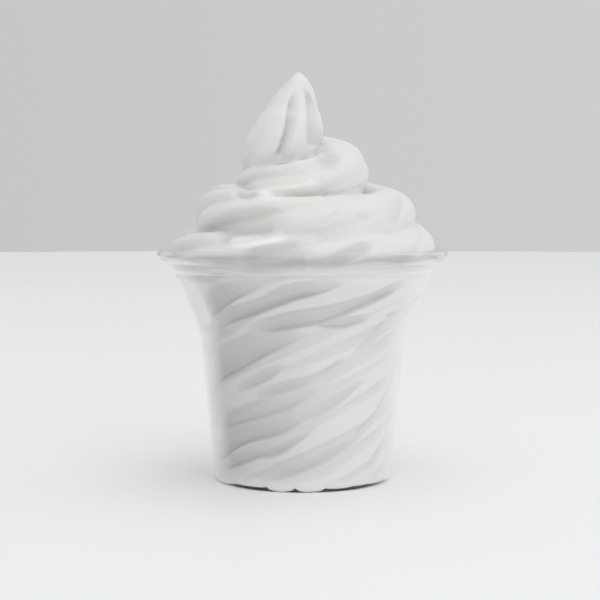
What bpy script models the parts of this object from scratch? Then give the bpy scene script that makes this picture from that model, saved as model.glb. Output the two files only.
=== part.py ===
"""Vanilla soft-serve sundae in a clear flared plastic cup.

Two pieces, each its own object: the thin cup, and the ice cream, which is one
solid: the ribbed column that fills the cup, and the ribbed rope coiled on top
of it up to the drawn-out tip. The origin is the middle of the cup's foot, +Z
is up and -Y is the front. Sizes are in millimetres, turned to metres by MM.
"""

import math

import bmesh
import bpy
from mathutils import Vector

MM = 0.001
FULL_TURN = 2 * math.pi
# Places round the cup, in turns anticlockwise from the right.
LEFT = 0.5
FRONT = 0.75

# Cup: the inner line of the plastic sheet as (radius, height), from the free
# edge under the rolled lip down to the middle of the floor. The sheet lies on
# the outer side of this line.
SHEET = 0.6
AROUND = 40
LIP_CENTRE = (45.9, 73.4)
LIP_SIZE = (1.6, 2.1)
LIP_FREE_EDGE = -110
LIP_INNER_EDGE = 180
LIP_STEPS = 7
COLLAR = ((43.35, 71.4), (43.25, 69.3))
BAND = ((41.85, 68.4), (41.65, 66.5), (41.2, 65.3), (40.2, 64.3), (39.2, 62.6))
WAIST = ((34.3, 51.6), (33.4, 49.3), (32.9, 46.8))
FOOT = ((28.6, 3.4), (28.25, 1.9), (27.5, 0.9), (26.6, 0.6))
FLOOR = ((24.4, 0.6), (23.6, 1.0), (22.6, 1.3), (0.0, 1.3))
CLEARANCE = 0.3

# Ice cream in the cup: a star-shaped column, twisted as it filled the cup.
COLUMN_RIBS = 10
COLUMN_PITCH = 80.0
COLUMN_STEP = 2.4
COLUMN_TOP = 70.4
COLUMN_FLOOR_ROUND = 2.4
# Depth of a groove, in parts, at points spread over one rib, and one groove's
# height at the front. The grooves fade towards the right and the back.
GROOVE_SHAPE = (1.0, 0.05, 0.0, 0.0, 0.05)
GROOVE_DEPTH = 2.3
GROOVE_HEIGHT = 23.0
GROOVE_DEEP_SIDE = 0.6
GROOVE_FADE = 0.35
# On the left of the funnel the ice cream stands off the cup: the heights where
# this starts, is full, is still full and ends, how deep it is and how far round.
HOLLOW_HEIGHTS = (50.0, 55.0, 63.0, 67.0)
HOLLOW_DEPTH = 4.6
HOLLOW_HALF_WIDTH = 0.21

# Core that fills the middle of the coil, as (radius, height).
CORE = ((0.0, 113.0), (4.0, 112.0), (15.0, 98.0), (30.0, 84.0), (35.0, 78.0), (35.0, 60.0), (0.0, 60.0))
CORE_AROUND = 16

# Ice cream above the cup: one ribbed rope, coiled anticlockwise from above.
# Turns from the left side, radius of the coil, height, radius of the rope, and
# how far the middle of the coil stands to the right.
ROPE = (
    (-0.60, 24.0, 57.0, 8.0, 0.0),
    (-0.45, 29.5, 61.5, 9.4, 0.0),
    (-0.25, 32.3, 67.5, 9.9, 0.0),
    (0.00, 33.7, 72.3, 10.0, 0.0),
    (0.25, 33.6, 71.5, 10.2, 0.0),
    (0.50, 33.0, 74.5, 10.4, 0.0),
    (0.75, 30.0, 81.0, 10.0, 0.0),
    (1.00, 25.3, 87.0, 9.8, 0.0),
    (1.25, 27.0, 84.0, 10.0, 0.0),
    (1.50, 27.0, 87.6, 10.0, 0.0),
    (1.75, 20.0, 92.5, 9.6, 0.0),
    (2.00, 13.5, 97.0, 9.0, 0.0),
    (2.25, 14.8, 97.3, 9.5, 0.0),
    (2.50, 11.5, 103.2, 9.8, 0.0),
    (2.75, 9.0, 105.5, 9.8, 0.0),
    (3.00, 9.0, 107.4, 10.2, 0.0),
    (3.15, 5.5, 110.5, 10.5, -2.5),
    (3.30, 2.2, 115.0, 10.2, -3.2),
    (3.45, 0.8, 120.4, 8.4, -2.4),
    (3.60, 0.3, 126.3, 6.0, -1.5),
    (3.72, 0.0, 130.6, 3.3, -1.1),
    (3.78, 0.0, 132.7, 0.7, -1.0),
)
ROPE_RIBS = 6
# Radius of the rope, in parts, at points spread over one rib.
ROPE_RIB_SHAPE = (1.06, 1.0, 0.8, 1.0)
# Turns, and the angle of one rib round the rope in degrees, from its outside
# towards its top. From the start of the tip the ribs only follow the rope.
RIB_ANGLES = (
    (-0.60, -320.0),
    (0.17, 30.0),
    (1.07, 534.0),
    (1.20, 595.0),
    (2.13, 889.0),
    (2.28, 914.0),
    (2.90, 1018.0),
)
ROPE_STEP = 5.4
TIP_STEP = 2.6
TIP_START = 2.9
ROPE_PIECES = 8
ROPE_END_SIZE = 0.8
INNER_SHARE = 0.9
ROPE_SAMPLES = 2000
WELD_DISTANCE = 0.01
KEPT_SHARE = 0.55
ROOM_TOP = 150.0
SHARP_ANGLE = 40


def clear_scene():
    for obj in list(bpy.data.objects):
        bpy.data.objects.remove(obj, do_unlink=True)


def new_collection(name):
    collection = bpy.data.collections.new(name)
    bpy.context.scene.collection.children.link(collection)
    return collection


def new_material(name, colour, roughness, transmission):
    material = bpy.data.materials.new(name)
    material.use_nodes = True
    shader = material.node_tree.nodes["Principled BSDF"]
    shader.inputs["Base Color"].default_value = (*colour, 1.0)
    shader.inputs["Roughness"].default_value = roughness
    shader.inputs["Metallic"].default_value = 0.0
    shader.inputs["Transmission Weight"].default_value = transmission
    return material


def new_object(name, mesh, collection):
    obj = bpy.data.objects.new(name, mesh)
    collection.objects.link(obj)
    return obj


def lip_line():
    """Rolled lip, from its free edge round the outside to the cup's mouth."""
    points = []
    for i in range(LIP_STEPS + 1):
        angle = math.radians(LIP_FREE_EDGE + (LIP_INNER_EDGE - LIP_FREE_EDGE) * i / LIP_STEPS)
        radius = LIP_CENTRE[0] + LIP_SIZE[0] * math.cos(angle)
        height = LIP_CENTRE[1] + LIP_SIZE[1] * math.sin(angle)
        points.append((radius, height))
    return points


def wall_line():
    """Inner line of the cup's wall, from the mouth down to the foot."""
    return [lip_line()[-1], *COLLAR, *BAND, *WAIST, *FOOT]


def wall_radius(height):
    """Inner radius of the cup at a height."""
    line = wall_line()
    for upper, lower in zip(line, line[1:]):
        if upper[1] >= height >= lower[1]:
            share = (height - lower[1]) / (upper[1] - lower[1])
            return lower[0] + (upper[0] - lower[0]) * share
    return line[-1][0]


def turned(name, line, steps, collection):
    """Object turned about the upright axis from a line of (radius, height)."""
    mesh = bpy.data.meshes.new(name)
    vertices = [(radius * MM, 0.0, height * MM) for radius, height in line]
    edges = [(i, i + 1) for i in range(len(line) - 1)]
    mesh.from_pydata(vertices, edges, [])
    obj = new_object(name, mesh, collection)
    screw = obj.modifiers.new("turn", "SCREW")
    screw.steps = steps
    screw.render_steps = steps
    screw.use_merge_vertices = True
    screw.merge_threshold = 0.00001
    return obj


def make_cup(collection, material):
    line = [*lip_line(), *COLLAR, *BAND, *WAIST, *FOOT, *FLOOR]
    cup = turned("cup", line, AROUND, collection)
    sheet = cup.modifiers.new("sheet", "SOLIDIFY")
    sheet.thickness = SHEET * MM
    sheet.offset = 1.0
    sheet.use_even_offset = True
    cup.data.materials.append(material)
    return cup


def loft(name, rings, collection):
    """Closed solid through a row of rings that have the same number of points."""
    build = bmesh.new()
    rows = [[build.verts.new(point * MM) for point in ring] for ring in rings]
    for lower, upper in zip(rows, rows[1:]):
        for i in range(len(lower)):
            j = (i + 1) % len(lower)
            build.faces.new((lower[i], lower[j], upper[j], upper[i]))
    build.faces.new(reversed(rows[0]))
    build.faces.new(rows[-1])
    bmesh.ops.triangulate(build, faces=build.faces[:])
    bmesh.ops.recalc_face_normals(build, faces=build.faces[:])
    mesh = bpy.data.meshes.new(name)
    build.to_mesh(mesh)
    build.free()
    return new_object(name, mesh, collection)


def hollow_depth(turn, height):
    """How far the ice cream stands off the cup at this place."""
    start, full, still_full, end = HOLLOW_HEIGHTS
    aside = abs(turn % 1.0 - LEFT) / HOLLOW_HALF_WIDTH
    if aside >= 1.0 or height <= start or height >= end:
        return 0.0
    share = min(1.0, (height - start) / (full - start), (end - height) / (end - still_full))
    return HOLLOW_DEPTH * share * 0.5 * (1.0 + math.cos(math.pi * aside))


def groove_depth(turn, point):
    fade = GROOVE_FADE * math.cos(FULL_TURN * (turn - GROOVE_DEEP_SIDE))
    return GROOVE_DEPTH * (1.0 - GROOVE_FADE + fade) * GROOVE_SHAPE[point % len(GROOVE_SHAPE)]


def column_ring(height):
    """One level of the twisted column, pressed out against the cup."""
    floor = FLOOR[-1][1] + CLEARANCE
    lift = max(0.0, 1.0 - (height - floor) / COLUMN_FLOOR_ROUND)
    rounding = COLUMN_FLOOR_ROUND * (1.0 - math.sqrt(1.0 - lift * lift))
    wall = wall_radius(height) - CLEARANCE - rounding
    first = FRONT + (height - GROOVE_HEIGHT) / COLUMN_PITCH
    count = COLUMN_RIBS * len(GROOVE_SHAPE)
    ring = []
    for i in range(count):
        turn = first + i / count
        groove = groove_depth(turn, i)
        radius = wall - max(groove, hollow_depth(turn, height) + 0.5 * groove)
        angle = FULL_TURN * turn
        ring.append(Vector((radius * math.cos(angle), radius * math.sin(angle), height)))
    return ring


def make_column(name, collection):
    floor = FLOOR[-1][1] + CLEARANCE
    heights = [floor, floor + 0.25 * COLUMN_FLOOR_ROUND, floor + COLUMN_FLOOR_ROUND]
    while heights[-1] + 1.5 * COLUMN_STEP < COLUMN_TOP:
        heights.append(heights[-1] + COLUMN_STEP)
    heights.append(COLUMN_TOP)
    return loft(name, [column_ring(height) for height in heights], collection)


def rope_point(turns):
    """Place on the rope's middle line and the rope's radius, on a smooth curve
    through the rows of the table."""
    last = len(ROPE) - 1
    i = 0
    while i < last - 1 and ROPE[i + 1][0] <= turns:
        i += 1
    start, end = ROPE[i], ROPE[i + 1]
    before, after = ROPE[max(i - 1, 0)], ROPE[min(i + 2, last)]
    span = end[0] - start[0]
    s = (turns - start[0]) / span
    values = []
    for k in range(1, len(start)):
        slope_in = (end[k] - before[k]) / (end[0] - before[0]) * span
        slope_out = (after[k] - start[k]) / (after[0] - start[0]) * span
        values.append(
            (2 * s ** 3 - 3 * s ** 2 + 1) * start[k] + (s ** 3 - 2 * s ** 2 + s) * slope_in
            + (3 * s ** 2 - 2 * s ** 3) * end[k] + (s ** 3 - s ** 2) * slope_out
        )
    coil, height, radius, lean = values
    angle = FULL_TURN * (LEFT + turns)
    return Vector((coil * math.cos(angle) + lean, coil * math.sin(angle), height)), radius


def rope_stations():
    """Places an even step apart along the rope: turns, middle and radius."""
    first, last = ROPE[0][0], ROPE[-1][0]
    stations = [(first, *rope_point(first))]
    walked = 0.0
    previous = stations[0][1]
    for i in range(1, ROPE_SAMPLES):
        turns = first + (last - first) * i / ROPE_SAMPLES
        middle, radius = rope_point(turns)
        walked += (middle - previous).length
        previous = middle
        if walked >= (ROPE_STEP if turns < TIP_START else TIP_STEP):
            stations.append((turns, middle, radius))
            walked = 0.0
    end = (last, *rope_point(last))
    if (stations[-1][1] - end[1]).length < 0.5 * TIP_STEP:
        stations.pop()
    stations.append(end)
    return stations


def rib_angle(turns):
    """Angle of the first rib round the rope, in degrees."""
    for before, after in zip(RIB_ANGLES, RIB_ANGLES[1:]):
        if turns <= after[0]:
            share = (turns - before[0]) / (after[0] - before[0])
            return before[1] + (after[1] - before[1]) * share
    return RIB_ANGLES[-1][1]


def rope_frames():
    """Turns, middle, radius, outside, top and angle of the ribs, at every station."""
    stations = rope_stations()
    frames = []
    for i, (turns, middle, radius) in enumerate(stations):
        here = stations[max(i - 1, 0)][1]
        there = stations[min(i + 1, len(stations) - 1)][1]
        ahead = (there - here).normalized()
        if turns < TIP_START:
            angle = FULL_TURN * (LEFT + turns)
            outside = Vector((math.cos(angle), math.sin(angle), 0.0))
            outside = (outside - ahead * outside.dot(ahead)).normalized()
        else:
            outside = along.rotation_difference(ahead) @ outside
        along = ahead
        frames.append((turns, middle, radius, outside, outside.cross(along), rib_angle(turns)))
    return frames


def rope_ring(frame, size):
    """Star-shaped ring, whose inner side stops short of the coil's middle."""
    turns, middle, radius, outside, top, first = frame
    aside = Vector((middle.x, middle.y, 0.0))
    count = ROPE_RIBS * len(ROPE_RIB_SHAPE)
    ring = []
    for i in range(count):
        angle = math.radians(first) + FULL_TURN * i / count
        spoke = outside * math.cos(angle) + top * math.sin(angle)
        reach = radius * size * ROPE_RIB_SHAPE[i % len(ROPE_RIB_SHAPE)]
        inwards = -spoke.dot(aside)
        if turns < TIP_START and reach * inwards > INNER_SHARE * aside.length_squared:
            reach = INNER_SHARE * aside.length_squared / inwards
        ring.append(middle + spoke * reach)
    return ring


def make_rope(collection):
    """The rope in pieces shorter than a turn, each ending inside the next."""
    frames = rope_frames()
    ends = [round((len(frames) - 1) * i / ROPE_PIECES) for i in range(ROPE_PIECES + 1)]
    for number, (first, last) in enumerate(zip(ends, ends[1:])):
        rings = [rope_ring(frames[i], 1.0) for i in range(first, last + 1)]
        if first > 0:
            rings.insert(0, rope_ring(frames[first - 1], ROPE_END_SIZE))
        if last < len(frames) - 1:
            rings.append(rope_ring(frames[last + 1], ROPE_END_SIZE))
        loft(f"rope_{number}", rings, collection)


def make_room(collection):
    """Room inside the cup, less the clearance, and open above the lip."""
    line = wall_line()
    mouth = line[0][0] - CLEARANCE
    outline = [(0.0, ROOM_TOP), (mouth, ROOM_TOP), (mouth, line[0][1])]
    outline += [(radius - CLEARANCE, height) for radius, height in line[1:-2]]
    outline.append((0.0, line[-3][1]))
    return turned("room", outline, AROUND, collection)


def apply_modifiers(obj):
    """Fix the object's modifiers into its mesh."""
    graph = bpy.context.evaluated_depsgraph_get()
    mesh = bpy.data.meshes.new_from_object(obj.evaluated_get(graph))
    obj.modifiers.clear()
    obj.data = mesh


def keep_outer_shell(mesh):
    """Fill the closed pockets left between the turns, and drop loose edges."""
    build = bmesh.new()
    build.from_mesh(mesh)
    loose = [edge for edge in build.edges if edge.is_wire]
    bmesh.ops.delete(build, geom=loose, context="EDGES")
    left = set(build.faces)
    shells = []
    while left:
        shell = {left.pop()}
        border = list(shell)
        while border:
            for edge in border.pop().edges:
                for face in edge.link_faces:
                    if face not in shell:
                        shell.add(face)
                        border.append(face)
        left -= shell
        shells.append(shell)
    shells.sort(key=len)
    for shell in shells[:-1]:
        bmesh.ops.delete(build, geom=list(shell), context="FACES")
    build.to_mesh(mesh)
    build.free()


def make_soft_serve(collection, material):
    helpers = new_collection("helpers")
    ropes = new_collection("ropes")
    make_rope(ropes)
    turned("core", CORE, CORE_AROUND, ropes)
    room = make_room(helpers)
    soft_serve = make_column("soft_serve", collection)
    union = soft_serve.modifiers.new("rope", "BOOLEAN")
    union.operation = "UNION"
    union.operand_type = "COLLECTION"
    union.collection = ropes
    union.solver = "MANIFOLD"
    trim = soft_serve.modifiers.new("trim", "BOOLEAN")
    trim.operation = "INTERSECT"
    trim.object = room
    trim.solver = "MANIFOLD"
    thin = soft_serve.modifiers.new("thin", "DECIMATE")
    thin.ratio = KEPT_SHARE
    weld = soft_serve.modifiers.new("weld", "WELD")
    weld.merge_threshold = WELD_DISTANCE * MM
    apply_modifiers(soft_serve)
    keep_outer_shell(soft_serve.data)
    for obj in [*ropes.objects, *helpers.objects]:
        bpy.data.objects.remove(obj, do_unlink=True)
    for group in (ropes, helpers):
        bpy.data.collections.remove(group)
    soft_serve.data.materials.clear()
    soft_serve.data.materials.append(material)
    return soft_serve


def main():
    clear_scene()
    sundae = new_collection("vanilla_sundae")
    clear_plastic = new_material("clear_plastic", (0.9, 0.92, 0.94), 0.08, 1.0)
    ice_cream = new_material("ice_cream", (0.86, 0.85, 0.82), 0.5, 0.0)
    make_cup(sundae, clear_plastic)
    make_soft_serve(sundae, ice_cream)
    for obj in sundae.objects:
        obj.data.set_sharp_from_angle(angle=math.radians(SHARP_ANGLE))


main()
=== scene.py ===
import math

import bmesh
import bpy
import numpy as np
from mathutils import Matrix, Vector, noise


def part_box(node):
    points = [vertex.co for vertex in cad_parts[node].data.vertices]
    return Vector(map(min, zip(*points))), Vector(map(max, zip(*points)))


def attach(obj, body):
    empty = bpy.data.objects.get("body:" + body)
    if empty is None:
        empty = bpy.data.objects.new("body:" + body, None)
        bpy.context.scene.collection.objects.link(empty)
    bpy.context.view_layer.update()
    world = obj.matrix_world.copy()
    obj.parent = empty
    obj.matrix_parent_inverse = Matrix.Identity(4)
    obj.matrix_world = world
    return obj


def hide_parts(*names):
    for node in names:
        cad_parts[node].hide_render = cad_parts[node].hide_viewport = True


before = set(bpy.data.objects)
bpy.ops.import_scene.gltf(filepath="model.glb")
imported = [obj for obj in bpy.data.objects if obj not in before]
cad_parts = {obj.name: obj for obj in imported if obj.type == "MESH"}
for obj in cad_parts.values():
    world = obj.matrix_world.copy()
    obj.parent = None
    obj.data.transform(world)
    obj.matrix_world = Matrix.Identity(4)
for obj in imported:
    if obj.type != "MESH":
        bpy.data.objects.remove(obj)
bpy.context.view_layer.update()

cupLow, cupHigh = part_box("cup")

# Lengths below are in millimetres unless a comment says metres, from the middle
# of the cup's foot, with +Z up and the front at -Y.
mm = 0.001
footCentre = Vector(((cupLow.x + cupHigh.x) / 2, (cupLow.y + cupHigh.y) / 2, cupLow.z))
fullTurn = 2 * math.pi
tiny = 0.001                    # keeps a division away from zero

view = {
    "distance": 500.0,          # from the cup's axis
    "height": 92.0,             # above the floor
    "aside": -0.8,
    "aimHeight": 58.5,
    "lens": 91.5,
    "sensor": 36.0,
}

studio = {
    "floorRadius": 2150.0,
    "floorSides": 256,
    "floorColour": (0.94, 0.94, 0.942),
    "floorDark": 0.985,         # share of the colour that its darker spots keep
    "floorGrain": 8.0,
    "floorRoughness": 0.6,
    "horizonColour": (0.59, 0.592, 0.595),
    "zenithColour": (0.88, 0.882, 0.885),
    "skyFade": (0.15, 0.9),     # heights between which the horizon's colour turns into the zenith's
    "leftShade": 0.18,          # how much darker the left is at the horizon, and lighter the right
    # light: name, power, size and place, in metres
    "lights": (
        ("key", 6.0, 2.0, (0.48, -1.47, 0.96)),
        ("top", 0.9, 0.8, (0.05, -0.05, 1.0)),
        ("leftRim", 0.2, 0.6, (-0.80, 0.90, 0.28)),
        ("rightRim", 0.2, 0.6, (0.80, 0.90, 0.28)),
    ),
    "aim": (0.0, 0.0, 0.08),
}


class Wire:
    # a socket that can be added, multiplied and so on in plain Python
    def __init__(self, paint, socket):
        self.paint = paint
        self.socket = socket

    def __add__(self, other):
        return self.paint.maths("ADD", self, other)

    __radd__ = __add__

    def __sub__(self, other):
        return self.paint.maths("SUBTRACT", self, other)

    def __rsub__(self, other):
        return self.paint.maths("SUBTRACT", other, self)

    def __mul__(self, other):
        return self.paint.maths("MULTIPLY", self, other)

    __rmul__ = __mul__

    def __pow__(self, other):
        return self.paint.maths("POWER", self, other)


class Paint:
    # one material and its nodes
    def __init__(self, name):
        self.material = bpy.data.materials.new(name)
        self.material.use_nodes = True
        self.tree = self.material.node_tree
        self.tree.nodes.clear()
        self.output = self.tree.nodes.new("ShaderNodeOutputMaterial")

    def node(self, kind, settings=None, inputs=None, result=0):
        made = self.tree.nodes.new(kind)
        for key, value in (settings or {}).items():
            setattr(made, key, value)
        for key, value in (inputs or {}).items():
            if isinstance(value, Wire):
                self.tree.links.new(value.socket, made.inputs[key])
            else:
                made.inputs[key].default_value = value
        return Wire(self, made.outputs[result])

    def maths(self, operation, first, second):
        return self.node("ShaderNodeMath", {"operation": operation}, {0: first, 1: second})

    def finish(self, shader):
        self.tree.links.new(shader.socket, self.output.inputs["Surface"])
        return self.material


def toMesh(name, build):
    mesh = bpy.data.meshes.new(name)
    build.to_mesh(mesh)
    build.free()
    return mesh


def newPiece(name, mesh, material):
    piece = bpy.data.objects.new(name, mesh)
    bpy.context.scene.collection.objects.link(piece)
    mesh.materials.append(material)
    mesh.shade_smooth()
    return piece


def inMetres(point):
    return footCentre + Vector(point) * mm


def between(table, place):
    # value at a place in a table of (place, value), straight from row to row
    places = [row[0] for row in table]
    values = [row[1] for row in table]
    return float(np.interp(place, places, values))


def smoothStep(share):
    share = np.clip(share, 0.0, 1.0)
    return share * share * (3.0 - 2.0 * share)


cornerSteps = 4
cornerShare = 0.45             # a corner takes up this much of a short line, at most


def roundedLine(corners):
    # (radius, height, corner size) rows, joined with a short curve at each corner
    points = []
    for i, (radius, height, size) in enumerate(corners):
        here = Vector((radius, height))
        if size == 0.0 or i in (0, len(corners) - 1):
            points.append(here)
            continue
        before = Vector(corners[i - 1][:2]) - here
        after = Vector(corners[i + 1][:2]) - here
        start = here + before.normalized() * min(size, before.length * cornerShare)
        end = here + after.normalized() * min(size, after.length * cornerShare)
        for step in range(cornerSteps + 1):
            share = step / cornerSteps
            points.append(start.lerp(here, share).lerp(here.lerp(end, share), share))
    return points


def spun(points, steps):
    # surface turned round the cup's axis from a line of (radius, height)
    build = bmesh.new()
    row = [build.verts.new((point[0], 0.0, point[1])) for point in points]
    edges = [build.edges.new(pair) for pair in zip(row, row[1:])]
    bmesh.ops.spin(
        build, geom=row + edges, cent=(0, 0, 0), axis=(0, 0, 1), dvec=(0, 0, 0),
        angle=fullTurn, steps=steps, use_merge=True, use_duplicate=False,
    )
    bmesh.ops.remove_doubles(build, verts=build.verts[:], dist=0.001)
    return build


cupShape = {
    "sheet": 0.6,
    "steps": 192,
    "footHeight": 1.4,
    "lipCentre": (45.9, 73.4),
    "lipSize": (1.6, 2.1),
    "lipArc": (-110.0, 180.0),
    "lipSteps": 20,
    # inner line of the sheet below the lip: radius, height, corner size
    "wall": (
        (43.35, 71.4, 0.4), (43.25, 69.3, 0.5), (41.85, 68.4, 0.5), (41.65, 66.5, 0.8),
        (40.2, 64.3, 1.6), (39.2, 62.6, 1.2), (34.3, 51.6, 2.5), (32.9, 46.8, 2.5),
        (28.7, 2.6, 1.0), (28.5, 0.6, 0.35), (24.4, 0.6, 0.5),
        (22.6, 1.3, 0.7), (0.0, 1.3, 0.0),
    ),
}


def lipLine():
    first, last = cupShape["lipArc"]
    points = []
    for i in range(cupShape["lipSteps"] + 1):
        angle = math.radians(first + (last - first) * i / cupShape["lipSteps"])
        radius = cupShape["lipCentre"][0] + cupShape["lipSize"][0] * math.cos(angle)
        height = cupShape["lipCentre"][1] + cupShape["lipSize"][1] * math.sin(angle)
        points.append(Vector((radius, height)))
    return points


def wallLine():
    mouth = lipLine()[-1]
    return roundedLine([(mouth[0], mouth[1], 0.0), *cupShape["wall"]])


wallPoints = wallLine()
footRows = cupShape["wall"][-4:]
footCorner, footSize = footRows[0][0], footRows[0][2]
standing = [point for point in wallPoints if point[0] > footCorner - footSize]
wallHeights = np.array([point[1] for point in reversed(standing)])
wallRadii = np.array([point[0] for point in reversed(standing)])
footRadii, footHeights = zip(*[row[:2] for row in reversed(footRows)])


def wallRadius(height):
    # inner radius of the cup at a height, or at an array of them
    return np.interp(height, wallHeights, wallRadii)


plastic = {
    "clear": (0.98, 0.98, 0.98),
    "deep": (0.92, 0.918, 0.91),        # where the sheet is seen along its length
    "deepening": 5.0,
    "gloss": (0.97, 0.965, 0.955),
    "roughness": 0.06,
    "rippleScale": 45.0,
    "rippleStrength": 0.12,
    "rippleDepth": 0.002,               # metres
    "leastShine": 0.04,
    "mostShine": 0.95,
    "rimShine": (2.0, 0.84),            # how fast the shine grows towards the rims, less its start
}


def clearPlastic():
    paint = Paint("clearPlastic")
    place = paint.node("ShaderNodeTexCoord", result=3)
    facing = paint.node("ShaderNodeLayerWeight", {}, {"Blend": 0.5}, result=1)
    clear = paint.node("ShaderNodeBsdfTransparent", {}, {"Color": (*plastic["clear"], 1)})
    deep = paint.node("ShaderNodeBsdfTransparent", {}, {"Color": (*plastic["deep"], 1)})
    through = paint.node("ShaderNodeMixShader", {}, {0: facing ** plastic["deepening"], 1: clear, 2: deep})
    ripple = paint.node("ShaderNodeTexNoise", {}, {
        "Vector": place, "Scale": plastic["rippleScale"], "Detail": 2.0,
    })
    bump = paint.node("ShaderNodeBump", {}, {
        "Strength": plastic["rippleStrength"], "Distance": plastic["rippleDepth"], "Height": ripple,
    })
    gloss = paint.node("ShaderNodeBsdfPrincipled", {}, {
        "Base Color": (*plastic["gloss"], 1),
        "Roughness": plastic["roughness"],
        "Metallic": 1.0,
        "Normal": bump,
    })
    growth, start = plastic["rimShine"]
    rim = paint.maths("MAXIMUM", growth * facing - start, 0.0)
    shine = paint.maths("MINIMUM", plastic["leastShine"] + rim, plastic["mostShine"])
    return paint.finish(paint.node("ShaderNodeMixShader", {}, {0: shine, 1: through, 2: gloss}))


def makeCup(material):
    line = lipLine()[:-1] + wallPoints
    build = spun(line, cupShape["steps"])
    bmesh.ops.recalc_face_normals(build, faces=build.faces[:])
    for vertex in build.verts:
        vertex.co = inMetres(vertex.co)
    cup = newPiece("clearCup", toMesh("clearCup", build), material)
    sheet = cup.modifiers.new("sheet", "SOLIDIFY")
    sheet.thickness = cupShape["sheet"] * mm
    sheet.offset = -1.0
    sheet.use_even_offset = True
    return cup


rope = {
    # turns from the left side, radius of the coil, height, radius of the rope,
    # and how far the middle of the coil stands to the right
    "rows": (
        (-0.60, 24.0, 57.0, 8.0, 0.0),
        (-0.45, 29.5, 61.5, 9.4, 0.0),
        (-0.25, 32.3, 67.5, 9.9, 0.0),
        (0.00, 33.7, 71.8, 10.0, 0.0),
        (0.25, 33.6, 70.5, 10.2, 0.0),
        (0.50, 33.0, 74.0, 10.4, 0.0),
        (0.75, 30.0, 80.0, 10.0, 0.0),
        (1.00, 25.3, 86.0, 9.8, 0.0),
        (1.25, 27.0, 82.2, 10.0, 0.0),
        (1.50, 27.0, 85.4, 10.0, 0.0),
        (1.75, 20.0, 90.5, 9.6, 0.0),
        (2.00, 13.9, 94.8, 8.7, 0.0),
        (2.25, 14.8, 94.2, 9.4, 0.0),
        (2.50, 11.5, 100.6, 9.8, 0.0),
        (2.75, 9.0, 103.0, 9.8, 0.0),
        (3.00, 9.3, 103.8, 10.2, 0.0),
        (3.15, 5.8, 107.6, 11.0, -4.4),
        (3.30, 2.4, 113.4, 11.5, -5.0),
        (3.45, 0.8, 120.0, 9.1, -3.7),
        (3.60, 0.3, 126.2, 6.1, -1.9),
        (3.72, 0.0, 130.6, 3.1, -1.3),
        (3.78, 0.0, 132.7, 0.7, -1.4),
    ),
    "ribs": 6,
    # turns, and the angle of one rib from the rope's outside towards its top
    "ribAngles": (
        (-0.60, -320.0), (0.17, 30.0), (1.07, 534.0), (1.20, 595.0),
        (2.13, 889.0), (2.28, 914.0), (2.90, 1018.0),
    ),
    # turns, and how far the ribs stand out there
    "ribStrength": (
        (-0.60, 1.0), (0.12, 1.0), (0.26, 0.7), (0.36, 0.35), (0.50, 0.5), (0.62, 1.0),
        (1.18, 1.1), (1.26, 0.6), (1.36, 0.2), (1.55, 0.3), (1.70, 1.0), (2.24, 1.0),
        (2.34, 0.25), (2.55, 0.25), (2.70, 0.9), (3.10, 0.8), (3.78, 0.7),
    ),
    "valley": 0.79,
    "ridge": 1.07,
    "valleyPlace": 0.62,        # from a ridge up to the next, so the lower side is steeper
    "ridgePower": 0.85,         # below 1, ridges are broad and valleys sharp
    "evenShare": 0.75,          # how full the rope is, between valley and ridge, without ribs
    "step": 1.2,
    "samples": 6000,
    "around": 72,
    "tipStart": 2.9,
    "plainFront": (3.0, 0.2),   # turns where the tip's front starts to lose its ribs, and over how many
    "innerShare": 0.9,          # how far the rope may reach towards the axis
}

filling = {
    "intoWall": 0.2,            # how far the ice cream reaches into the sheet
    "intoFoot": 0.45,
    "belowFoot": 1.0,           # what is below the foot's inner line is pressed flat later
    "columnTop": 70.4,
    "columnRows": 70,
    "columnSteps": 160,
    # radius and height of the part that fills the middle of the coil
    "core": (
        (0.0, 110.0), (4.0, 109.0), (15.0, 96.0), (30.0, 82.0), (35.0, 76.0), (35.0, 60.0), (0.0, 60.0),
    ),
    "coreSteps": 64,
    "voxel": 0.68,
    "smoothing": 1,
}


def ropePoint(turns):
    # middle of the rope and its radius, on a smooth curve through the rows
    rows = rope["rows"]
    last = len(rows) - 1
    i = 0
    while i < last - 1 and rows[i + 1][0] <= turns:
        i += 1
    start, end = rows[i], rows[i + 1]
    before, after = rows[max(i - 1, 0)], rows[min(i + 2, last)]
    span = end[0] - start[0]
    s = (turns - start[0]) / span
    values = []
    for k in range(1, 5):
        slopeIn = (end[k] - before[k]) / (end[0] - before[0]) * span
        slopeOut = (after[k] - start[k]) / (after[0] - start[0]) * span
        values.append(
            (2 * s ** 3 - 3 * s ** 2 + 1) * start[k] + (s ** 3 - 2 * s ** 2 + s) * slopeIn
            + (3 * s ** 2 - 2 * s ** 3) * end[k] + (s ** 3 - s ** 2) * slopeOut
        )
    coil, height, radius, lean = values
    angle = fullTurn * (0.5 + turns)
    return Vector((coil * math.cos(angle) + lean, coil * math.sin(angle), height)), radius


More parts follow.
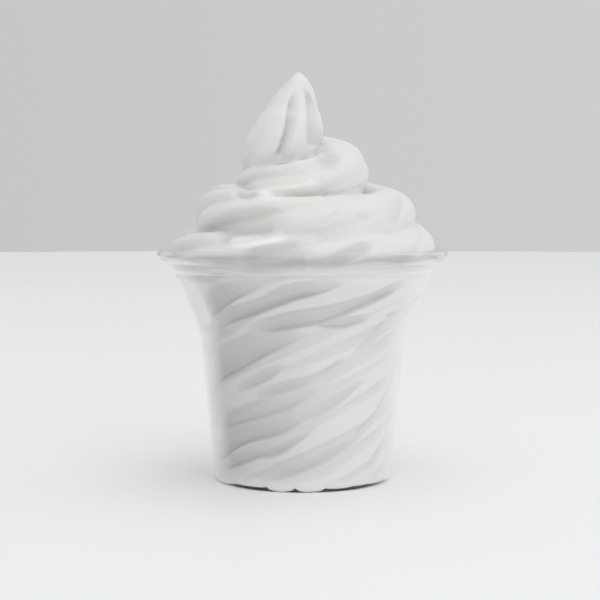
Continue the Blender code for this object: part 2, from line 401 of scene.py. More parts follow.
def ropeStations():
    # places an even step apart along the rope, with the frame at each
    first, last = rope["rows"][0][0], rope["rows"][-1][0]
    samples = rope["samples"]
    picked = [first]
    walked = 0.0
    previous = ropePoint(first)[0]
    for i in range(1, samples):
        turns = first + (last - first) * i / samples
        middle = ropePoint(turns)[0]
        walked += (middle - previous).length
        previous = middle
        if walked >= rope["step"]:
            picked.append(turns)
            walked = 0.0
    picked.append(last)
    stations = []
    along = None
    outside = None
    for i, turns in enumerate(picked):
        middle, radius = ropePoint(turns)
        here = ropePoint(picked[max(i - 1, 0)])[0]
        there = ropePoint(picked[min(i + 1, len(picked) - 1)])[0]
        ahead = (there - here).normalized()
        if turns < rope["tipStart"]:
            angle = fullTurn * (0.5 + turns)
            outside = Vector((math.cos(angle), math.sin(angle), 0.0))
            outside = (outside - ahead * outside.dot(ahead)).normalized()
        else:
            outside = along.rotation_difference(ahead) @ outside
        along = ahead
        stations.append((turns, middle, radius, outside, outside.cross(along)))
    return stations


def ropeReach(turns, phase, forward):
    # share of the rope's radius at a phase of one rib, from ridge to ridge; the
    # front of the tip is left plain, because its folds are cut as faces later
    strength = between(rope["ribStrength"], turns)
    if turns > rope["tipStart"]:
        start, span = rope["plainFront"]
        strength *= 1.0 - float(smoothStep(forward + 0.5)) * float(smoothStep((turns - start) / span))
    part = phase % 1.0
    valley = rope["valleyPlace"]
    part = 0.5 * part / valley if part < valley else 0.5 + 0.5 * (part - valley) / (1.0 - valley)
    wave = abs(math.cos(math.pi * part)) ** rope["ridgePower"]
    full = rope["valley"] + (rope["ridge"] - rope["valley"]) * wave
    even = rope["valley"] + (rope["ridge"] - rope["valley"]) * rope["evenShare"]
    return even + (full - even) * strength


def makeRope(stations):
    rows = len(stations)
    around = rope["around"]
    build = bmesh.new()
    bmesh.ops.create_grid(build, x_segments=rows - 1, y_segments=around, size=1.0)
    for vertex in build.verts:
        turns, middle, radius, outside, top = stations[round((vertex.co.x + 1) / 2 * (rows - 1))]
        share = round((vertex.co.y + 1) / 2 * around) % around / around
        angle = fullTurn * share + math.radians(between(rope["ribAngles"], turns))
        spoke = outside * math.cos(angle) + top * math.sin(angle)
        reach = radius * ropeReach(turns, share * rope["ribs"], -spoke.y)
        aside = Vector((middle.x, middle.y, 0.0))
        inwards = -spoke.dot(aside)
        limit = rope["innerShare"] * aside.length_squared
        if turns < rope["tipStart"] and reach * inwards > limit:
            reach = limit / inwards
        vertex.co = middle + spoke * reach
    bmesh.ops.remove_doubles(build, verts=build.verts[:], dist=0.0005)
    bmesh.ops.holes_fill(build, edges=[edge for edge in build.edges if edge.is_boundary], sides=0)
    bmesh.ops.recalc_face_normals(build, faces=build.faces[:])
    return build


def makeColumn():
    # what fills the cup: it follows the cup's inner line down into the foot
    into = filling["intoWall"]
    heights = np.linspace(filling["columnTop"], cupShape["footHeight"], filling["columnRows"])
    line = [(0.0, filling["columnTop"])]
    line += [(float(wallRadius(height)) + into, float(height)) for height in heights]
    line += [(radius, height - filling["belowFoot"]) for radius, height, _ in footRows]
    build = spun(line, filling["columnSteps"])
    bmesh.ops.recalc_face_normals(build, faces=build.faces[:])
    return build


def makeCore():
    build = spun(filling["core"], filling["coreSteps"])
    bmesh.ops.recalc_face_normals(build, faces=build.faces[:])
    return build


def largestShell(build):
    # drops the closed pockets between the turns
    left = set(build.faces)
    shells = []
    while left:
        shell = {left.pop()}
        border = list(shell)
        while border:
            for edge in border.pop().edges:
                for face in edge.link_faces:
                    if face not in shell:
                        shell.add(face)
                        border.append(face)
        left -= shell
        shells.append(shell)
    shells.sort(key=len)
    for shell in shells[:-1]:
        bmesh.ops.delete(build, geom=list(shell), context="FACES")


def fuse(parts):
    # one closed surface round all the parts, in even small faces
    whole = bmesh.new()
    for part in parts:
        mesh = toMesh("part", part)
        whole.from_mesh(mesh)
        bpy.data.meshes.remove(mesh)
    mesh = toMesh("whole", whole)
    helper = bpy.data.objects.new("whole", mesh)
    bpy.context.scene.collection.objects.link(helper)
    remesh = helper.modifiers.new("remesh", "REMESH")
    remesh.mode = "VOXEL"
    remesh.voxel_size = filling["voxel"]
    graph = bpy.context.evaluated_depsgraph_get()
    fused = bmesh.new()
    fused.from_mesh(helper.evaluated_get(graph).to_mesh())
    helper.evaluated_get(graph).to_mesh_clear()
    bpy.data.objects.remove(helper, do_unlink=True)
    bpy.data.meshes.remove(mesh)
    largestShell(fused)
    for _ in range(filling["smoothing"]):
        bmesh.ops.smooth_vert(
            fused, verts=fused.verts[:], factor=0.5, use_axis_x=True, use_axis_y=True, use_axis_z=True,
        )
    return fused


# Folds seen through the cup, as slanted faces: each starts at its ridge, falls
# away from the wall to its full depth at the crease below, and the next fold starts
# there. The lines are (degrees from the front towards the right, height), rising
# from left to right. "start" is the share of the depth that the ridge has already,
# and "ends" the share of the length over which the face comes in and goes out.
cupFaces = (
    {"ridge": ((-84, 58.6), (-56, 62.1), (-43, 64.2), (-32, 66.0), (-23, 67.6), (-13, 68.6)),
     "crease": ((-82, 52.6), (-52, 56.2), (-43, 58.2), (-33, 61.2), (-26, 63.1), (-19, 65.2),
                (-12, 68.2)),
     "depth": 2.1, "start": 0.5, "ends": (0.2, 0.5)},
    {"ridge": ((-60, 53.8), (-28, 59.3), (-17, 61.7), (-9, 64.9), (-2, 66.2), (7, 66.9), (22, 67.6)),
     "crease": ((-60, 50.0), (-35, 54.7), (-24, 56.7), (-13, 59.3), (-5, 61.3), (6, 63.2), (14, 65.2),
                (24, 67.3)),
     "depth": 2.0, "start": 0.4, "ends": (0.3, 0.3)},
    {"ridge": ((-32, 52.0), (-18, 54.7), (-6, 56.9), (10, 58.3), (20, 59.7), (29, 61.3), (38, 63.5),
               (43, 65.1), (54, 67.0)),
     "crease": ((-32, 50.8), (-17, 51.4), (-4, 52.6), (10, 54.2), (21, 56.8), (30, 59.0), (40, 61.6),
                (46, 63.4), (55, 66.6)),
     "depth": 2.2, "start": 0.4, "ends": (0.25, 0.2)},
    {"ridge": ((2, 54.6), (12, 55.6), (22, 55.2), (38, 55.8)),
     "crease": ((2, 54.0), (12, 52.7), (22, 52.6), (38, 55.2)),
     "depth": 1.6, "start": 0.4, "ends": (0.3, 0.3)},
    {"ridge": ((-92, 38.6), (-50, 45.4), (-33, 48.6), (-22, 50.6), (-9, 51.8), (8, 52.6)),
     "crease": ((-90, 27.0), (-54, 35.4), (-38, 38.9), (-32, 40.5), (-24, 42.8), (-15, 45.4), (-7, 47.7),
                (8, 52.2)),
     "depth": 2.2, "start": 0.15, "ends": (0.25, 0.35)},
    {"ridge": ((-44, 33.2), (-35, 36.0), (-27, 38.7), (-21, 40.5), (-8, 42.8)),
     "crease": ((-44, 30.8), (-36, 32.6), (-28, 34.2), (-22, 35.6), (-17, 37.3), (-7, 42.0)),
     "depth": 1.4, "start": -0.1, "ends": (0.35, 0.45)},
    {"ridge": ((-32, 31.4), (-20, 34.8), (-12, 36.4), (-2, 37.6), (12, 39.6)),
     "crease": ((-32, 29.6), (-16, 31.4), (-7, 32.7), (2, 34.9), (13, 39.0)),
     "depth": 1.4, "start": -0.1, "ends": (0.3, 0.45)},
    {"ridge": ((-72, 20.6), (-36, 27.4), (-24, 29.5), (-13, 30.8), (-1, 32.8), (16, 36.2)),
     "crease": ((-70, 17.0), (-33, 22.6), (-18, 25.0), (-7, 27.3), (5, 30.8), (17, 35.6)),
     "depth": 1.8, "start": 0.1, "ends": (0.3, 0.4)},
    {"ridge": ((-94, 10.4), (-56, 19.0), (-37, 22.6), (-25, 24.4), (-13, 26.6), (10, 31.4)),
     "crease": ((-90, 4.0), (-57, 10.0), (-45, 13.4), (-34, 16.0), (-23, 17.4), (-12, 19.3), (-4, 21.8),
                (11, 30.4)),
     "depth": 2.3, "start": 0.0, "ends": (0.25, 0.35)},
    {"ridge": ((-66, 6.6), (-43, 11.4), (-29, 14.3), (-19, 15.5), (-11, 17.2), (12, 23.6)),
     "crease": ((-66, 4.4), (-43, 8.0), (-37, 9.3), (-29, 11.0), (-19, 11.8), (-11, 13.6), (13, 22.8)),
     "depth": 1.9, "start": -0.1, "ends": (0.25, 0.4)},
    {"ridge": ((-34, 3.6), (-22, 6.8), (-14, 8.8), (-8, 10.4), (-2, 11.4), (4, 12.5), (11, 14.0),
               (27, 17.4), (44, 21.0)),
     "crease": ((-34, 2.4), (-14, 4.8), (-8, 5.7), (0, 7.2), (8, 8.7), (14, 10.1), (26, 13.6),
                (45, 20.2)),
     "depth": 1.7, "start": 0.1, "ends": (0.3, 0.35)},
    {"ridge": ((-16, 24.4), (-6, 27.0), (3, 29.0), (11, 30.6), (24, 33.6), (42, 38.4)),
     "crease": ((-16, 20.6), (-6, 22.2), (1, 23.5), (10, 25.2), (22, 28.8), (43, 37.6)),
     "depth": 1.2, "start": 0.0, "ends": (0.35, 0.4)},
)

# Short creases there: steep at the path, running out below it and to a point at
# both ends.
cupCreases = (
    {"path": ((44, 55.0), (50, 55.7), (56, 55.8), (68, 57.6)), "width": 2.2, "depth": 1.5},
    {"path": ((-44, 22.0), (-33, 26.0), (-22, 28.4)), "width": 2.8, "depth": 1.1},
    {"path": ((0, 36.0), (12, 38.5), (26, 43.5)), "width": 4.0, "depth": 1.0},
    {"path": ((24, 41.5), (38, 48.0), (54, 56.0)), "width": 3.6, "depth": 0.8},
    {"path": ((26, 15.0), (40, 20.3), (52, 26.5)), "width": 2.8, "depth": 1.0},
    {"path": ((44, 8.0), (58, 13.0), (74, 21.0)), "width": 4.0, "depth": 1.2},
    {"path": ((44, 22.0), (58, 30.0), (70, 39.0)), "width": 3.4, "depth": 0.7},
)
creaseForm = {"ends": (0.4, 0.4), "leastWidth": 0.05, "rise": 0.14}

# The grooves elsewhere in the cup: even twisted ones, as the nozzle makes them.
cupTwist = {
    "ribs": 10,
    "pitch": 80.0,
    "height": 23.0,             # of one groove at the front
    "depth": 2.3,
    "frontSide": (62.0, 112.0), # degrees from the front where they fade in
    "narrow": 2.2,              # how narrow they are between their ribs
    "power": 1.3,               # and how sharp at the bottom
    "unevenness": 0.3,
    "wander": 6.0,
}

# Streaks drawn along the twist, in millimetres across, along and deep.
cupStreaks = {"across": 8.0, "along": 45.0, "depth": 1.4, "level": -0.05}

# Lobes that reach down into the foot: middle and half width in degrees, and reach.
footLobes = (
    (-74, 26, 1.0), (-38, 15, 0.3), (-14, 9, 1.0), (5, 9, 1.0), (24, 10, 0.45), (40, 9, 0.25),
    (56, 11, 0.4), (78, 12, 0.8), (102, 14, 1.0), (132, 15, 0.6), (160, 16, 1.0), (194, 17, 0.5),
    (228, 16, 1.0), (262, 15, 0.7),
)
footGap = 1.2                   # height of the edge between them

# On the left of the funnel the ice cream stands off the cup.
cupHollow = {
    "heights": (47.0, 53.0, 64.0, 69.0),
    "degrees": -90.0,
    "halfWidth": 62.0,
    "depth": 5.2,
}

# Strokes on the coil, seen from the front: (to the right, height) paths on the
# upright plane through the cup's axis. "groove" cuts a soft V, "band" lifts a flat
# rib, and "fold" is steep on the left of its direction and runs out on the right.
# "ends" is the share of the length over which a stroke comes in and goes out, and
# its painted-shading value paints shade where it cuts in and paints light where it stands out.
coilStrokes = (
    # edge that the tip stands in, from the right to the left
    {"kind": "fold",
     "path": ((0.6, 107.1), (-2.1, 106.5), (-3.6, 104.9), (-6.5, 103.3), (-10.2, 103.2),
              (-13.4, 102.8), (-15.9, 101.9), (-20.6, 100.2)),
     "width": 4.2, "depth": 2.0, "ends": (0.3, 0.5)},
    # the dimple beside the tip's foot, with painted shade in it, and the hollow below it
    {"kind": "groove", "path": ((9.4, 109.0), (8.4, 105.6), (6.6, 100.0)),
     "width": 6.4, "depth": 2.4, "ends": (0.4, 0.5), "paintedShading": 0.4},
    {"kind": "groove", "path": ((7.6, 104.5), (6.0, 100.5), (4.4, 96.6)), "width": 3.2, "depth": 0.9},
    # painted light along the lower edge of the second turn, and a patch of painted light on the lowest
    {"kind": "band", "path": ((-16.0, 93.0), (-8.0, 93.6), (-1.0, 94.4), (6.0, 96.4)),
     "width": 2.6, "depth": 0.5, "paintedShading": 0.35},
    {"kind": "band", "path": ((-25.0, 77.0), (-14.0, 78.2), (-4.0, 79.6)),
     "width": 2.6, "depth": 0.3, "paintedShading": 0.32},
    # crease under the second turn, with a notch below it
    {"kind": "fold", "path": ((4.2, 92.8), (9.8, 93.4), (14.7, 94.2), (20.8, 96.4)),
     "width": 1.8, "depth": 1.0},
    {"kind": "groove", "path": ((7.0, 93.4), (7.3, 89.4)), "width": 1.3, "depth": 0.8},
    # marks on the third turn and on the lowest
    {"kind": "groove", "path": ((5.0, 83.2), (8.4, 84.8), (11.8, 87.2)), "width": 1.8, "depth": 0.6},
    {"kind": "groove", "path": ((17.6, 86.6), (19.5, 85.6), (21.4, 84.4)), "width": 2.1, "depth": 0.7},
    {"kind": "groove", "path": ((33.5, 83.0), (34.5, 77.0)), "width": 1.4, "depth": 0.9},
)

# Slanted faces on the coil, seen in the same way. Each starts at a ridge, falls
# away to its full depth at a crease, and the next fold starts there. Both lines
# run the same way, with the face on the right of the ridge. "start" and "ends" are
# as in the cup, except that a start below 0 makes the ridge stand out. "curve" below
# 1 brings the fall nearer to the ridge, and "edge" is how far below the crease the
# surface comes back. Each face also gets painted shade, deepest at its crease, and
# its painted-shading value adds more painted shade, or painted light below 0.
coilFaces = (
    # tip: from the rib's left edge down to the deep groove, and from its right edge
    {"ridge": ((-1.0, 128.0), (-1.5, 121.6), (-2.2, 117.9), (-2.8, 113.9), (-4.1, 110.6),
               (-5.2, 107.0), (-7.2, 103.9)),
     "crease": ((-2.4, 128.0), (-4.2, 122.8), (-4.9, 119.5), (-5.3, 115.9), (-6.1, 112.3), (-7.7, 107.8),
                (-9.2, 104.6), (-11.6, 102.2)),
     "depth": 3.4, "start": 0.2, "curve": 1.3, "ends": (0.3, 0.08), "paintedShading": 0.1},
    {"ridge": ((0.4, 130.0), (2.9, 124.4), (4.7, 119.9), (6.4, 113.5), (8.3, 108.6)),
     "crease": ((-0.4, 130.0), (1.5, 124.0), (2.0, 117.9), (1.9, 112.3), (2.0, 108.2)),
     "depth": 2.1, "start": 0.1, "curve": 0.5, "ends": (0.3, 0.06), "paintedShading": 0.2},
    # second turn: left face, and the face under its ridge, with painted light at its crease
    {"ridge": ((-24.6, 96.2), (-20.4, 97.4), (-17.1, 98.2), (-13.6, 99.6)),
     "crease": ((-24.8, 93.6), (-20.4, 92.1), (-17.5, 91.8), (-13.6, 93.6)),
     "depth": 1.7, "start": -0.3, "curve": 0.7, "ends": (0.3, 0.3), "paintedShading": 0.1},
    {"ridge": ((-16.8, 93.8), (-8.2, 94.4), (-2.4, 95.2), (1.3, 96.6), (4.1, 98.4), (5.7, 101.6)),
     "crease": ((-17.6, 91.8), (-9.0, 92.2), (-5.7, 92.4), (-2.4, 92.4), (4.1, 92.6), (7.6, 94.0)),
     "depth": 0.9, "start": -0.7, "curve": 0.8, "ends": (0.2, 0.25), "paintedShading": -0.35},
    # third turn: the large dark face on its left, with painted shade, and a shallow one on its right
    {"ridge": ((-34.0, 81.8), (-31.5, 83.8), (-28.6, 85.7), (-25.7, 87.3), (-22.1, 88.1), (-18.8, 88.5),
               (-15.7, 89.1), (-9.0, 88.8), (-1.0, 86.8)),
     "crease": ((-34.6, 77.8), (-28.7, 76.2), (-26.2, 77.0), (-24.4, 79.2), (-22.8, 80.0), (-18.8, 80.1),
                (-13.9, 80.1), (-8.0, 80.4), (0.0, 81.6)),
     "depth": 3.2, "start": -0.08, "curve": 0.55, "edge": 1.6, "ends": (0.24, 0.4), "paintedShading": 0.15},
    {"ridge": ((24.0, 82.0), (26.0, 89.4), (24.3, 96.7)),
     "crease": ((29.8, 81.2), (31.3, 86.2), (32.2, 89.6), (32.8, 93.6)),
     "depth": 1.5, "start": -0.1, "ends": (0.3, 0.3)},
    # lowest turn: the grey face that rises to the right, with strong painted shade, and the one by the rim
    {"ridge": ((-26.0, 71.4), (-20.5, 74.1), (-15.6, 76.0), (-9.8, 77.7), (-4.1, 79.4),
               (-0.8, 80.2), (4.4, 80.4)),
     "crease": ((-22.0, 69.0), (-9.0, 69.2), (-0.8, 70.4), (5.6, 73.4)),
     "depth": 2.4, "start": 0.0, "curve": 0.6, "edge": 3.0, "ends": (0.2, 0.36), "paintedShading": 0.4},
    {"ridge": ((5.0, 71.0), (13.1, 75.1), (17.2, 77.2), (24.0, 79.0)),
     "crease": ((7.0, 69.0), (14.9, 71.0), (19.6, 73.4), (26.0, 76.6)),
     "depth": 1.8, "start": -0.3, "curve": 0.6, "ends": (0.3, 0.3), "paintedShading": 0.1},
)


# Parts of a stroke's width: a band's flat top and its edge, and a fold's steep side.
strokeForm = {"bandTop": 0.55, "bandEdge": 0.45, "foldRise": 0.4, "ends": (0.18, 0.18)}

# How far a face is felt above its ridge, further where the ridge stands out, and
# below its crease.
faceForm = {"above": 0.8, "aboveLifted": 4.0, "below": 0.9}


def steepFall(near, side, rise):
    # full at the path, running out slowly below it and steeply above it
    return np.where(side < 0, 1.0 - smoothStep(near), 1.0 - smoothStep(near / rise))


def strokeShape(kind, distance, side, width):
    # how far the stroke moves the surface, as a share of its depth
    near = distance / width
    if kind == "groove":
        return -(1.0 - smoothStep(near))
    if kind == "band":
        return 1.0 - smoothStep((near - strokeForm["bandTop"]) / strokeForm["bandEdge"])
    return -steepFall(near, side, strokeForm["foldRise"])


def faceShape(points, face):
    # share of the face's depth: "start" at the ridge and all of it at the crease
    fromRidge, ridgeSide, ridgeAlong = pathField(points, face["ridge"])
    fromCrease, creaseSide, creaseAlong = pathField(points, face["crease"])
    start = face["start"]
    across = fromRidge / np.maximum(fromRidge + fromCrease, tiny)
    share = start + (1.0 - start) * across ** face.get("curve", 1.0)
    inside = (ridgeSide < 0) & (creaseSide >= 0)
    beyond = 1.0 - smoothStep(fromCrease / face.get("edge", faceForm["below"]))
    above = faceForm["above"] if start > 0 else faceForm["aboveLifted"]
    before = start * (1.0 - smoothStep(fromRidge / above))
    shape = np.where(inside, share, np.where(ridgeSide >= 0, before, beyond))
    return shape * np.minimum(taper(ridgeAlong, *face["ends"]), taper(creaseAlong, *face["ends"]))


def pathField(points, path):
    # for each point: distance from the path, side of it (above is positive) and
    # place along it from 0 to 1
    path = np.array(path, dtype=float)
    lengths = np.linalg.norm(path[1:] - path[:-1], axis=1)
    starts = np.concatenate([[0.0], np.cumsum(lengths)])
    best = np.full(len(points), 1e9)
    side = np.zeros(len(points))
    along = np.zeros(len(points))
    for i in range(len(path) - 1):
        step = (path[i + 1] - path[i]) / lengths[i]
        away = points - path[i]
        share = np.clip(away @ step, 0.0, lengths[i])
        gap = away - share[:, None] * step
        distance = np.linalg.norm(gap, axis=1)
        nearer = distance < best
        best = np.where(nearer, distance, best)
        cross = step[0] * away[:, 1] - step[1] * away[:, 0]
        side = np.where(nearer, np.sign(cross), side)
        along = np.where(nearer, (starts[i] + share) / starts[-1], along)
    return best, side, along


def taper(along, start, end):
    return smoothStep(along / start) * smoothStep((1.0 - along) / end)


def onWall(path):
    # a path in degrees and heights, laid out in millimetres, and the scale across
    scale = math.radians(1.0) * float(wallRadius(np.mean([height for _, height in path])))
    return [(degrees * scale, height) for degrees, height in path], scale


def cupDepth(azimuth, height):
    # how deep the ice cream lies behind the cup's wall
    depth = np.zeros(len(height))
    front = np.degrees(azimuth)
    for face in cupFaces:
        ridge, scale = onWall(face["ridge"])
        crease = [(degrees * scale, place) for degrees, place in face["crease"]]
        spots = np.stack([front * scale, height], axis=1)
        shape = faceShape(spots, {**face, "ridge": ridge, "crease": crease})
        depth = np.maximum(depth, face["depth"] * shape)
    for crease in cupCreases:
        path, scale = onWall(crease["path"])
        spots = np.stack([front * scale, height], axis=1)
        distance, side, along = pathField(spots, path)
        size = taper(along, *creaseForm["ends"])
        near = distance / (crease["width"] * np.maximum(size, creaseForm["leastWidth"]))
        shape = steepFall(near, side, creaseForm["rise"])
        depth = np.maximum(depth, crease["depth"] * shape * size)
    turn = front / 360.0 - (height - cupTwist["height"]) / cupTwist["pitch"]
    wave = np.abs(np.sin(math.pi * turn * cupTwist["ribs"]))
    start, full = cupTwist["frontSide"]
    fade = smoothStep((np.abs(front) - start) / (full - start))
    uneven = 1.0 - cupTwist["unevenness"] * (1.0 + np.sin(2.0 * azimuth + height / cupTwist["wander"]))
    groove = np.clip(1.0 - wave * cupTwist["narrow"], 0.0, 1.0) ** cupTwist["power"]
    return np.maximum(depth, cupTwist["depth"] * groove * fade * uneven)


def streakDepth(azimuth, height, radius):
    # shallow streaks that follow the twist
    turned = azimuth - fullTurn * height / cupTwist["pitch"]
    across, along = cupStreaks["across"], cupStreaks["along"]
    x = radius * np.sin(turned) / across
    y = radius * np.cos(turned) / across
    z = height / along
    values = np.array([noise.noise(Vector(place)) for place in zip(x, y, z)])
    return cupStreaks["depth"] * np.clip(values - cupStreaks["level"], 0.0, 1.0)


def footLift(azimuth):
    # height of the ice cream's lower edge above the foot, between its lobes
    lobe = np.zeros(len(azimuth))
    for middle, half, reach in footLobes:
        aside = np.abs((np.degrees(azimuth) - middle + 180.0) % 360.0 - 180.0) / half
        lobe = np.maximum(lobe, reach * np.sqrt(np.clip(1.0 - aside ** 2, 0.0, 1.0)))
    return footGap * (1.0 - lobe)


def hollowDepth(azimuth, height):
    start, full, stillFull, end = cupHollow["heights"]
    aside = np.abs((np.degrees(azimuth) - cupHollow["degrees"] + 180.0) % 360.0 - 180.0)
    rise = smoothStep((height - start) / (full - start)) * smoothStep((end - height) / (end - stillFull))
    shape = 0.5 + 0.5 * np.cos(math.pi * np.clip(aside / cupHollow["halfWidth"], 0.0, 1.0))
    return cupHollow["depth"] * rise * shape


# Where strokes and folds end, and over what length they fade.
shaping = {
    "grazing": 0.3,             # strokes fade where the surface turns away from the eye
    "back": (12.0, 8.0),        # and behind the cup's axis
    "foldsTop": (70.0, 3.0),
    "foldsFoot": (1.5, 3.0),
    "hollowFolds": 0.5,         # share of the folds' depth that shows in the hollow
    "liftRadius": (16.0, 8.0),
    "liftHeight": 6.0,
}

# Shares from the darker colour of the ice cream to its paler one. Most of the tone is painted light and
# shade: painted shade on the coil's falling faces and grooves and in the cup's folds and left side, and
# painted light on bands, on the cup's right side and near the foot.
icePaintedTone = {
    "darker": (0.60, 0.597, 0.587),
    "paler": (0.90, 0.893, 0.876),
    "coil": 0.60,
    "coilPaintedShade": 0.19,
    "cup": 0.57,
    # painted light towards the right of the cup, and painted shade towards its left
    "cupPaintedSideLight": 0.42,
    "paintedLightAzimuth": 60.0,             # where the painted light is strongest, in degrees from the front towards the right
    # painted shade in the cup's folds, full at fullDepth
    "cupPaintedShade": 0.37,
    "fullDepth": 2.0,
    # painted light near the foot, fading out at footTop
    "foot": 0.5,
    "footTop": 7.0,
    "cupTop": (72.0, 4.0),      # height where the cup's painted tones begin, and over what length
}


def vectors(mesh, name):
    values = np.empty(len(mesh.vertices) * 3)
    mesh.vertices.foreach_get(name, values)
    return values.reshape(-1, 3)


def sculptCoil(places, normals):
    # moves the surface along the line to the eye, by where each point shows from the
    # front, and returns each point's tone, with painted shade on its falling faces and
    # grooves and painted light on its bands
    eye = np.array((view["aside"], -view["distance"], view["height"]))
    scale = view["distance"] / (places[:, 1] - eye[1])
    seen = eye[[0, 2]] + (places[:, [0, 2]] - eye[[0, 2]]) * scale[:, None]
    toEye = eye - places
    toEye /= np.linalg.norm(toEye, axis=1)[:, None]
    facing = smoothStep((normals * toEye).sum(axis=1) / shaping["grazing"])
    end, fade = shaping["back"]
    facing *= smoothStep((end - places[:, 1]) / fade)
    paintedTone = np.full(len(places), icePaintedTone["coil"])
    for face in coilFaces:
        fall = faceShape(seen, face) * facing
        places -= toEye * (face["depth"] * fall)[:, None]
        # painted shade where a face falls away, or painted light where its value is below 0
        paintedTone -= (icePaintedTone["coilPaintedShade"] + face.get("paintedShading", 0.0)) * np.clip(fall, 0.0, 1.0)
    for stroke in coilStrokes:
        distance, side, along = pathField(seen, stroke["path"])
        shape = strokeShape(stroke["kind"], distance, side, stroke["width"])
        shape *= taper(along, *stroke.get("ends", strokeForm["ends"])) * facing
        places += toEye * (stroke["depth"] * shape)[:, None]
        # painted shade in grooves and folds, painted light on bands
        paintedTone += stroke.get("paintedShading", 0.0) * shape
    return paintedTone


def sculptCup(places):
    # lays the part in the cup on the wall, apart from its folds and the hollow, and
    # returns where each point is round the cup and how deep the folds are there
    radius = np.hypot(places[:, 0], places[:, 1])
    azimuth = np.arctan2(places[:, 0], -places[:, 1])
    height = places[:, 2]
    start, width = shaping["liftRadius"]
    lift = footLift(azimuth) * (1.0 - smoothStep(height / shaping["liftHeight"]))
    lift *= smoothStep((radius - start) / width)
    height = np.maximum(height, np.interp(radius, footRadii, footHeights) - filling["intoFoot"]) + lift
    places[:, 2] = height
    folds = cupDepth(azimuth, height)
    depth = folds + streakDepth(azimuth, height, radius)
    hollow = hollowDepth(azimuth, height)
    top, topFade = shaping["foldsTop"]
    foot, footFade = shaping["foldsFoot"]
    inCup = smoothStep((top - height) / topFade) * smoothStep((height - foot) / footFade)
    wall = wallRadius(height) + filling["intoWall"]
    target = wall - np.maximum(depth, hollow + shaping["hollowFolds"] * depth) * inCup
    below = height < cupShape["lipCentre"][1]
    limited = np.where(below, np.minimum(radius, target), radius)
    places[:, :2] *= (limited / np.maximum(radius, tiny))[:, None]
    return azimuth, height, folds


def cupPaintedTone(azimuth, height, folds):
    # the part in the cup gets painted light on its right and painted shade on its left, painted shade
    # where it lies off the wall in its folds, and painted light near the foot
    paintedTone = icePaintedTone["cup"] + icePaintedTone["cupPaintedSideLight"] * np.cos(azimuth - math.radians(icePaintedTone["paintedLightAzimuth"]))
    # painted shade where the folds lie off the wall
    paintedTone -= icePaintedTone["cupPaintedShade"] * np.clip(folds / icePaintedTone["fullDepth"], 0.0, 1.0)
    # painted light towards the foot
    paintedTone += icePaintedTone["foot"] * smoothStep((icePaintedTone["footTop"] - height) / icePaintedTone["footTop"])
    return paintedTone


def sculpt(mesh):
    places = vectors(mesh, "co")
    paintedTone = sculptCoil(places, vectors(mesh, "normal"))
    azimuth, height, folds = sculptCup(places)
    mesh.vertices.foreach_set("co", places.ravel())
    # below the rim the coil's painted light and shade give way to the cup's
    top, fade = icePaintedTone["cupTop"]
    paintedTone += (cupPaintedTone(azimuth, height, folds) - paintedTone) * smoothStep((top - height) / fade)
    # the tone attribute carries the painted light and shade into the colour
    paintedTones = mesh.attributes.new("paintedTone", "FLOAT", "POINT")
    paintedTones.data.foreach_set("value", np.clip(paintedTone, 0.0, 1.0))
    mesh.update()


iceSurface = {
    "fineScale": 900.0,
    "fineShare": 0.25,
    "softScale": 140.0,
    "softShare": 0.75,
    "bumpStrength": 0.25,
    "bumpDepth": 0.0006,        # metres
    "patchScale": 30.0,
    "patchTone": 0.12,          # how much the tone wanders from patch to patch
    "roughness": 0.42,
    "ior": 1.36,
    "inside": 0.25,             # share of the light that wanders inside
    "insideRadius": (1.0, 0.9, 0.75),
    "insideScale": 0.002,       # metres
}


def iceCream():
    paint = Paint("iceCream")
    place = paint.node("ShaderNodeTexCoord", result=3)
    fine, soft, patch = [
        paint.node("ShaderNodeTexNoise", {}, {"Vector": place, "Scale": iceSurface[key], "Detail": detail})
        for key, detail in (("fineScale", 4.0), ("softScale", 3.0), ("patchScale", 2.0))
    ]
    # painted light and shade from the sculpt, with random patches on top, between the darker and paler
    # colour
    paintedTone = paint.node("ShaderNodeAttribute", {"attribute_name": "paintedTone"}, result=2)
    wander = iceSurface["patchTone"]
    colour = paint.node("ShaderNodeMix", {"data_type": "RGBA"}, {
        0: paintedTone + wander * patch - wander / 2, 6: (*icePaintedTone["darker"], 1), 7: (*icePaintedTone["paler"], 1),
    }, result=2)
    relief = fine * iceSurface["fineShare"] + soft * iceSurface["softShare"]
    bump = paint.node("ShaderNodeBump", {}, {
        "Strength": iceSurface["bumpStrength"], "Distance": iceSurface["bumpDepth"], "Height": relief,
    })
    shader = paint.node("ShaderNodeBsdfPrincipled", {"subsurface_method": "RANDOM_WALK"}, {
        "Base Color": colour,
        "Roughness": iceSurface["roughness"],
        "IOR": iceSurface["ior"],
        "Subsurface Weight": iceSurface["inside"],
        "Subsurface Radius": iceSurface["insideRadius"],
        "Subsurface Scale": iceSurface["insideScale"],
        "Normal": bump,
    })
    return paint.finish(shader)


def makeIceCream(material):
    build = fuse([makeRope(ropeStations()), makeColumn(), makeCore()])
    print("ice cream fused:", len(build.faces), "faces")
    mesh = toMesh("softServe", build)
    sculpt(mesh)
    for vertex in mesh.vertices:
        vertex.co = inMetres(vertex.co)
    return newPiece("softServe", mesh, material)


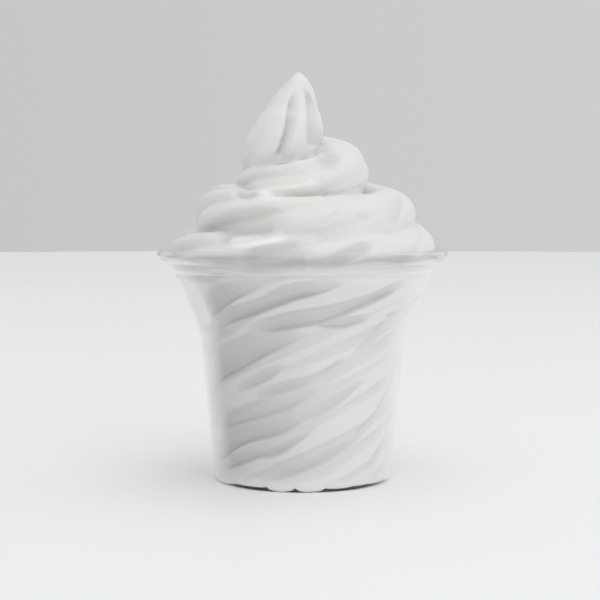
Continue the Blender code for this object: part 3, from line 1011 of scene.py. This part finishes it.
def makeFloor():
    paint = Paint("paleFloor")
    place = paint.node("ShaderNodeTexCoord", result=3)
    grain = paint.node("ShaderNodeTexNoise", {}, {
        "Vector": place, "Scale": studio["floorGrain"], "Detail": 3.0,
    })
    dark = tuple(studio["floorDark"] * shade for shade in studio["floorColour"])
    colour = paint.node("ShaderNodeMix", {"data_type": "RGBA"}, {
        0: grain, 6: (*dark, 1), 7: (*studio["floorColour"], 1),
    }, result=2)
    shader = paint.node("ShaderNodeBsdfPrincipled", {}, {
        "Base Color": colour, "Roughness": studio["floorRoughness"],
    })
    build = bmesh.new()
    bmesh.ops.create_circle(
        build, cap_ends=True, radius=studio["floorRadius"] * mm, segments=studio["floorSides"],
    )
    bmesh.ops.translate(build, verts=build.verts[:], vec=footCentre)
    floor = newPiece("floor", toMesh("floor", build), paint.finish(shader))
    return floor


def makeLight(name, power, size, place):
    light = bpy.data.lights.new(name, "AREA")
    light.shape = "DISK"
    light.size = size
    light.energy = power
    lamp = bpy.data.objects.new(name, light)
    bpy.context.scene.collection.objects.link(lamp)
    lamp.location = place
    aim = Vector(studio["aim"]) - Vector(place)
    lamp.rotation_euler = aim.to_track_quat("-Z", "Y").to_euler()
    return lamp


def makeStudio():
    makeFloor()
    for light in studio["lights"]:
        makeLight(*light)
    world = bpy.data.worlds.new("studio")
    world.use_nodes = True
    tree = world.node_tree
    place = tree.nodes.new("ShaderNodeTexCoord")
    split = tree.nodes.new("ShaderNodeSeparateXYZ")
    ramp = tree.nodes.new("ShaderNodeValToRGB")
    colours = (studio["horizonColour"], studio["zenithColour"])
    for stop, position, colour in zip(ramp.color_ramp.elements, studio["skyFade"], colours):
        stop.position = position
        stop.color = (*colour, 1)
    aside = tree.nodes.new("ShaderNodeMath")
    aside.operation = "MULTIPLY_ADD"
    aside.inputs[1].default_value = studio["leftShade"]
    aside.inputs[2].default_value = 1.0
    tree.links.new(place.outputs["Generated"], split.inputs[0])
    tree.links.new(split.outputs["Z"], ramp.inputs[0])
    tree.links.new(split.outputs["X"], aside.inputs[0])
    tree.links.new(ramp.outputs[0], tree.nodes["Background"].inputs["Color"])
    tree.links.new(aside.outputs[0], tree.nodes["Background"].inputs["Strength"])
    bpy.context.scene.world = world
    bpy.context.scene.view_settings.view_transform = "Standard"
    bpy.context.scene.view_settings.look = "None"


def makeCamera():
    camera = bpy.data.cameras.new("camera")
    camera.sensor_width = view["sensor"]
    camera.lens = view["lens"]
    eye = bpy.data.objects.new("camera", camera)
    bpy.context.scene.collection.objects.link(eye)
    eye.location = inMetres((view["aside"], -view["distance"], view["height"]))
    down = math.atan2(view["height"] - view["aimHeight"], view["distance"])
    eye.rotation_euler = (math.radians(90.0) - down, 0.0, 0.0)
    bpy.context.scene.camera = eye


makeCamera()
makeStudio()
print("studio ready")
cup = makeCup(clearPlastic())
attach(cup, "root")
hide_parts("cup")
print("cup ready")
softServe = makeIceCream(iceCream())
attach(softServe, "root")
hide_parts("soft_serve")
print("ice cream ready:", len(softServe.data.polygons), "faces")
